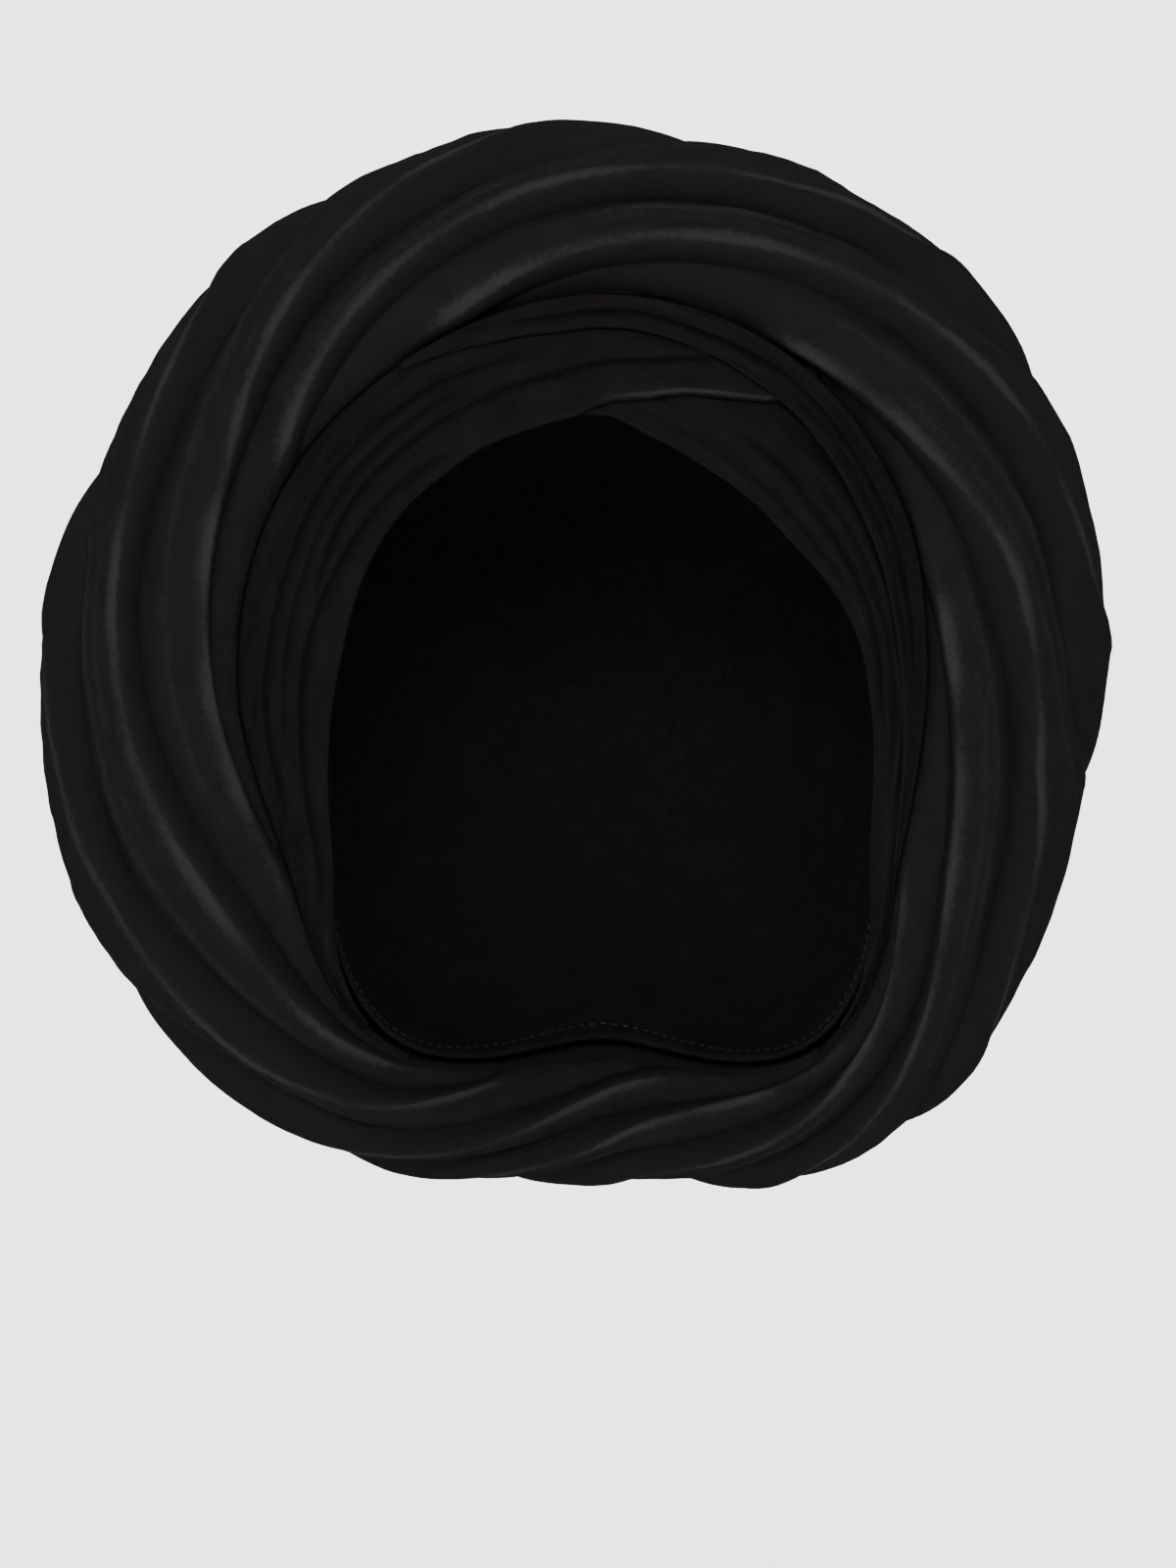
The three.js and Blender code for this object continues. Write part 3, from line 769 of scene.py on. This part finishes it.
print("stage: cap")
capForm = {
    "columns": 180,
    "rows": 48,
    "wall": 1.4,
    "pleats": 9,
    "pleatHeight": 0.22,
    "clear": 0.3,
    "weld": 0.02,
    "flat": (0.3, 0.27),
}
hemForm = {
    "behindEdge": 3.4,
    "pitch": 3.2,
    "length": 2.0,
    "thread": 0.45,
    "lifted": 0.1,
    "shade": (0.014, 0.012, 0.012, 1),
    "deepShade": (0.004, 0.0035, 0.0035, 1),
}


def newTree(name, inputs):
    # a Geometry Nodes tree with a geometry socket at both ends and these inputs
    tree = bpy.data.node_groups.new(name, "GeometryNodeTree")
    tree.interface.new_socket("Geometry", in_out="INPUT", socket_type="NodeSocketGeometry")
    for label, kind, value in inputs:
        made = tree.interface.new_socket(label, in_out="INPUT", socket_type=kind)
        if value is not None:
            made.default_value = value
    tree.interface.new_socket("Geometry", in_out="OUTPUT", socket_type="NodeSocketGeometry")
    return tree, tree.nodes.new("NodeGroupInput"), tree.nodes.new("NodeGroupOutput")


def madeByNodes(piece, tree, values):
    modifier = piece.modifiers.new(tree.name, "NODES")
    modifier.node_group = tree
    for item in tree.interface.items_tree:
        if item.item_type == "SOCKET" and item.in_out == "INPUT" and item.name in values:
            modifier[item.identifier] = values[item.name]
    graph = bpy.context.evaluated_depsgraph_get()
    made = bpy.data.meshes.new_from_object(piece.evaluated_get(graph), preserve_all_data_layers=True, depsgraph=graph)
    piece.modifiers.clear()
    piece.data = made
    return piece


def arithmetic(tree, operation, *values):
    made = tree.nodes.new("ShaderNodeMath")
    made.operation = operation
    for k, value in enumerate(values):
        if isinstance(value, bpy.types.NodeSocket):
            tree.links.new(value, made.inputs[k])
        else:
            made.inputs[k].default_value = value
    return made.outputs[0]


def namedNumber(tree, name):
    made = tree.nodes.new("GeometryNodeInputNamedAttribute")
    made.data_type = "FLOAT"
    made.inputs["Name"].default_value = name
    return made.outputs["Attribute"]


def capTree():
    # every point of a flat net goes out to the head, then the net gets its wall
    number = "NodeSocketFloat"
    tree, given, out = newTree("capShell", (
        ("Middle", number, 0.008), ("Half Length", number, 0.094), ("Axis Drop", number, 0.09),
        ("Pole Angle", number, 1.55), ("Wall", number, 0.0014), ("Cloth", "NodeSocketMaterial", None)))
    names = ("turn", "headRadius", "hemAngle", "share", "puff")
    turn, radius, hem, share, puff = (namedNumber(tree, name) for name in names)
    reach = arithmetic(tree, "SUBTRACT", given.outputs["Pole Angle"], hem)
    angle = arithmetic(tree, "MULTIPLY_ADD", reach, share, hem)
    outward = arithmetic(tree, "MULTIPLY", arithmetic(tree, "ADD", radius, puff), arithmetic(tree, "COSINE", angle))
    depth = arithmetic(tree, "MULTIPLY_ADD", arithmetic(tree, "ADD", given.outputs["Half Length"], puff),
                       arithmetic(tree, "SINE", angle), given.outputs["Middle"])
    side = arithmetic(tree, "MULTIPLY", arithmetic(tree, "MULTIPLY", outward, arithmetic(tree, "SINE", turn)), -1.0)
    up = arithmetic(tree, "MULTIPLY_ADD", arithmetic(tree, "MULTIPLY", outward, arithmetic(tree, "COSINE", turn)), -1.0,
                    arithmetic(tree, "MULTIPLY", given.outputs["Axis Drop"], -1.0))
    point = tree.nodes.new("ShaderNodeCombineXYZ")
    for axisInput, value in zip(point.inputs, (side, depth, up)):
        tree.links.new(value, axisInput)
    moved = tree.nodes.new("GeometryNodeSetPosition")
    tree.links.new(given.outputs["Geometry"], moved.inputs["Geometry"])
    tree.links.new(point.outputs[0], moved.inputs["Position"])
    welded = tree.nodes.new("GeometryNodeMergeByDistance")
    welded.inputs["Distance"].default_value = capForm["weld"] * mm
    tree.links.new(moved.outputs[0], welded.inputs["Geometry"])
    wall = tree.nodes.new("GeometryNodeExtrudeMesh")
    wall.inputs["Individual"].default_value = False
    tree.links.new(welded.outputs[0], wall.inputs["Mesh"])
    tree.links.new(given.outputs["Wall"], wall.inputs["Offset Scale"])
    inner = tree.nodes.new("GeometryNodeFlipFaces")
    tree.links.new(welded.outputs[0], inner.inputs[0])
    joined = tree.nodes.new("GeometryNodeJoinGeometry")
    tree.links.new(wall.outputs["Mesh"], joined.inputs[0])
    tree.links.new(inner.outputs[0], joined.inputs[0])
    closed = tree.nodes.new("GeometryNodeMergeByDistance")
    closed.inputs["Distance"].default_value = capForm["weld"] * mm
    tree.links.new(joined.outputs[0], closed.inputs["Geometry"])
    smooth = tree.nodes.new("GeometryNodeSetShadeSmooth")
    tree.links.new(closed.outputs[0], smooth.inputs[0])
    real = tree.nodes.new("GeometryNodeRealizeInstances")
    tree.links.new(smooth.outputs[0], real.inputs[0])
    cloth = tree.nodes.new("GeometryNodeSetMaterial")
    tree.links.new(real.outputs[0], cloth.inputs["Geometry"])
    tree.links.new(given.outputs["Cloth"], cloth.inputs["Material"])
    tree.links.new(cloth.outputs[0], out.inputs[0])
    return tree


def capShell(form):
    turn = np.linspace(0, fullTurn, form["columns"] + 1)[None, :]
    share = np.linspace(0, 1, form["rows"] + 1)[:, None]
    turn, share = np.broadcast_arrays(turn, share)
    hem = faceRound(turn) + headForm["capStart"]
    radius = section("faceRadius", turn) / np.cos(np.radians(faceRound(turn)))
    angle = np.radians(turn)
    gather = form["pleatHeight"] * np.sin(angle * form["pleats"] + 1.3 * np.sin(angle * 2))
    dents = 0.16 * waves(bandReach * np.cos(angle), share * 130 + 60 * np.sin(angle), 21, 70, 60)
    puff = form["clear"] + (gather + dents) * np.sin(math.pi * share) ** 0.6
    count = form["columns"] + 1
    i, j = np.meshgrid(np.arange(form["rows"]), np.arange(form["columns"]), indexing="ij")
    corner = i * count + j
    faces = np.stack([corner, corner + 1, corner + count + 1, corner + count], axis=-1).reshape(-1, 4)
    flat = np.stack([angle * bandReach * mm, share * 0.16, 0 * share], axis=-1).reshape(-1, 3)
    marks = {
        "turn": angle,
        "headRadius": radius * mm,
        "hemAngle": np.radians(hem),
        "share": share,
        "puff": puff * mm,
    }
    piece = meshPiece("capShell", flat, faces, bandBlack, marks, flat[:, :2])
    madeByNodes(piece, capTree(), {
        "Middle": headForm["middle"] * mm,
        "Half Length": headForm["halfLength"] * mm,
        "Axis Drop": headForm["axisDrop"] * mm,
        "Pole Angle": math.pi / 2,
        "Wall": form["wall"] * mm,
        "Cloth": bandBlack,
    })
    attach(piece, "root")
    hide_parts("cap_back", "cap_top", "cap_right", "cap_nape", "cap_left")
    return piece


def stitchTree():
    # one small thread for each pitch along the hem's line, turned to lie along it
    number = "NodeSocketFloat"
    tree, given, out = newTree("hemStitches", (
        ("Pitch", number, 0.0032), ("Length", number, 0.002), ("Thread", number, 0.00045),
        ("Cloth", "NodeSocketMaterial", None)))
    line = tree.nodes.new("GeometryNodeMeshToCurve")
    tree.links.new(given.outputs["Geometry"], line.inputs[0])
    even = tree.nodes.new("GeometryNodeResampleCurve")
    even.mode = "LENGTH"
    tree.links.new(line.outputs[0], even.inputs["Curve"])
    tree.links.new(given.outputs["Pitch"], even.inputs["Length"])
    thread = tree.nodes.new("GeometryNodeMeshUVSphere")
    thread.inputs["Segments"].default_value = 6
    thread.inputs["Rings"].default_value = 4
    thread.inputs["Radius"].default_value = 0.5
    along = tree.nodes.new("GeometryNodeInputTangent")
    aim = tree.nodes.new("FunctionNodeAlignRotationToVector")
    aim.axis = "Z"
    tree.links.new(along.outputs[0], aim.inputs["Vector"])
    size = tree.nodes.new("ShaderNodeCombineXYZ")
    for k, name in enumerate(("Thread", "Thread", "Length")):
        tree.links.new(given.outputs[name], size.inputs[k])
    placed = tree.nodes.new("GeometryNodeInstanceOnPoints")
    tree.links.new(even.outputs[0], placed.inputs["Points"])
    tree.links.new(thread.outputs["Mesh"], placed.inputs["Instance"])
    tree.links.new(aim.outputs[0], placed.inputs["Rotation"])
    tree.links.new(size.outputs[0], placed.inputs["Scale"])
    real = tree.nodes.new("GeometryNodeRealizeInstances")
    tree.links.new(placed.outputs[0], real.inputs[0])
    smooth = tree.nodes.new("GeometryNodeSetShadeSmooth")
    tree.links.new(real.outputs[0], smooth.inputs[0])
    cloth = tree.nodes.new("GeometryNodeSetMaterial")
    tree.links.new(smooth.outputs[0], cloth.inputs["Geometry"])
    tree.links.new(given.outputs["Cloth"], cloth.inputs["Material"])
    tree.links.new(cloth.outputs[0], out.inputs[0])
    return tree


def hemStitches(form):
    turn = np.arange(0, fullTurn, 2.0)
    radius, depth = headPoint(turn, faceRound(turn) + headForm["capStart"] + form["behindEdge"], form["lifted"])
    points = place(turn, radius, depth)
    data = bpy.data.meshes.new("hemStitches")
    data.from_pydata(points.tolist(), [(k, (k + 1) % len(turn)) for k in range(len(turn))], [])
    piece = bpy.data.objects.new("hemStitches", data)
    bpy.context.scene.collection.objects.link(piece)
    madeByNodes(piece, stitchTree(), {
        "Pitch": form["pitch"] * mm,
        "Length": form["length"] * mm,
        "Thread": form["thread"] * mm,
        "Cloth": threadBlack,
    })
    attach(piece, "root")
    return piece


def sewingThread(name):
    made, nodes, links = newMaterial(name)
    out = nodes.new("ShaderNodeOutputMaterial")
    thread = nodes.new("ShaderNodeBsdfPrincipled")
    spot = nodes.new("ShaderNodeTexCoord")
    twist = noise(nodes, links, spot.outputs["Object"], 0.3, 2.0)
    colour = blendOf(nodes, links, twist, hemForm["deepShade"], hemForm["shade"])
    links.new(colour, thread.inputs["Base Color"])
    links.new(spread(nodes, links, twist, 0.3, 0.7, 0.45, 0.7), thread.inputs["Roughness"])
    socket(thread, "Specular IOR Level", 0.3)
    links.new(thread.outputs["BSDF"], out.inputs["Surface"])
    return made


threadBlack = sewingThread("sewingThread")
stitches = hemStitches(hemForm)
cap = capShell(capForm)

print("stage: studio")
studio = {
    "floor": -0.62,  # height of the floor under the part
    "flatRadius": 3.0,
    "wallRadius": 4.6,
    "wallTop": 3.6,
    "pale": (0.86, 0.86, 0.86, 1),
    "world": 0.75,
    "viewWidth": 0.330,
    "viewDistance": 1.5,
    "viewPlane": 0.005,
    "viewCentre": (-0.0044, -0.1206),
    "sensor": 36.0,
}
# Each soft light: where it is, what it is turned to, its size, its power and its tint
lights = {
    "frontSoftbox": ((-0.15, -2.1, 0.6), (0, 0, -0.1), (0.7, 0.6), 42, (0.97, 0.985, 1.0)),
    "topSoftbox": ((0.2, -0.7, 1.6), (0, 0, -0.1), (0.9, 0.7), 5, (0.9, 0.94, 1.0)),
    "warmBounce": ((-0.9, -1.1, -0.5), (-0.1, 0, -0.2), (0.5, 0.4), 3.5, (1.0, 0.72, 0.5)),
    "backdropLight1": ((-1.4, 1.6, 2.6), (-0.8, 4.4, -0.2), (1.4, 1.0), 190, (1, 1, 1)),
    "backdropLight3": ((1.4, 1.6, 2.6), (0.8, 4.4, -0.2), (1.4, 1.0), 190, (1, 1, 1)),
}


def paleBowl(form):
    # a round floor that curves up into its wall
    made, nodes, links = newMaterial("paleStudio")
    out = nodes.new("ShaderNodeOutputMaterial")
    paint = nodes.new("ShaderNodeBsdfPrincipled")
    socket(paint, "Base Color", form["pale"])
    socket(paint, "Roughness", 0.9)
    socket(paint, "Specular IOR Level", 0.1)
    links.new(paint.outputs["BSDF"], out.inputs["Surface"])
    curve = form["wallRadius"] - form["flatRadius"]
    reach, height = [0.0, form["flatRadius"] * 0.5], [form["floor"]] * 2
    for angle in np.radians(np.linspace(0, 90, 13)):
        reach.append(form["flatRadius"] + curve * math.sin(angle))
        height.append(form["floor"] + curve * (1 - math.cos(angle)))
    reach = np.array(reach + [form["wallRadius"]])[:, None]
    height = np.array(height + [form["wallTop"]])[:, None]
    turn = np.radians(np.arange(0, fullTurn, 5))
    rows = np.stack(np.broadcast_arrays(reach * np.cos(turn), reach * np.sin(turn), height), axis=-1)
    count = len(turn)
    faces = []
    for j in range(count):
        k = (j + 1) % count
        faces.append([0, count + j, count + k])
        for i in range(1, len(rows) - 1):
            faces.append([i * count + k, i * count + j, (i + 1) * count + j, (i + 1) * count + k])
    piece = meshPiece("studioFloor", rows.reshape(-1, 3), faces, made)
    piece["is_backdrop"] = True
    return piece


def softLight(name, at, target, size, power, tint):
    light = bpy.data.lights.new(name, "AREA")
    light.shape = "RECTANGLE"
    light.size, light.size_y = size
    light.energy = power
    light.color = tint
    piece = bpy.data.objects.new(name, light)
    piece.location = at
    piece.rotation_euler = (Vector(target) - Vector(at)).to_track_quat("-Z", "Y").to_euler()
    bpy.context.scene.collection.objects.link(piece)


paleBowl(studio)
for name, light in lights.items():
    softLight(name, *light)

world = bpy.data.worlds.new("studioAir")
world.use_nodes = True
world.node_tree.nodes["Background"].inputs["Color"].default_value = (1, 1, 1, 1)
world.node_tree.nodes["Background"].inputs["Strength"].default_value = studio["world"]
bpy.context.scene.world = world

camera = bpy.data.objects.new("camera", bpy.data.cameras.new("camera"))
bpy.context.scene.collection.objects.link(camera)
camera.location = (studio["viewCentre"][0], studio["viewPlane"] - studio["viewDistance"], studio["viewCentre"][1])
camera.rotation_euler = (math.radians(90), 0, 0)
# the sensor's width is laid along the picture's height, the longer side
camera.data.sensor_width = studio["sensor"]
camera.data.lens = studio["sensor"] * studio["viewDistance"] / (studio["viewWidth"] * 1600 / 1200)
camera.data.clip_start, camera.data.clip_end = 0.05, 50
bpy.context.scene.camera = camera

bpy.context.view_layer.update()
meshes = [piece.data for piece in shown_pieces() if piece.type == "MESH"]
print("triangles:", sum(len(face.vertices) - 2 for mesh in meshes for face in mesh.polygons))
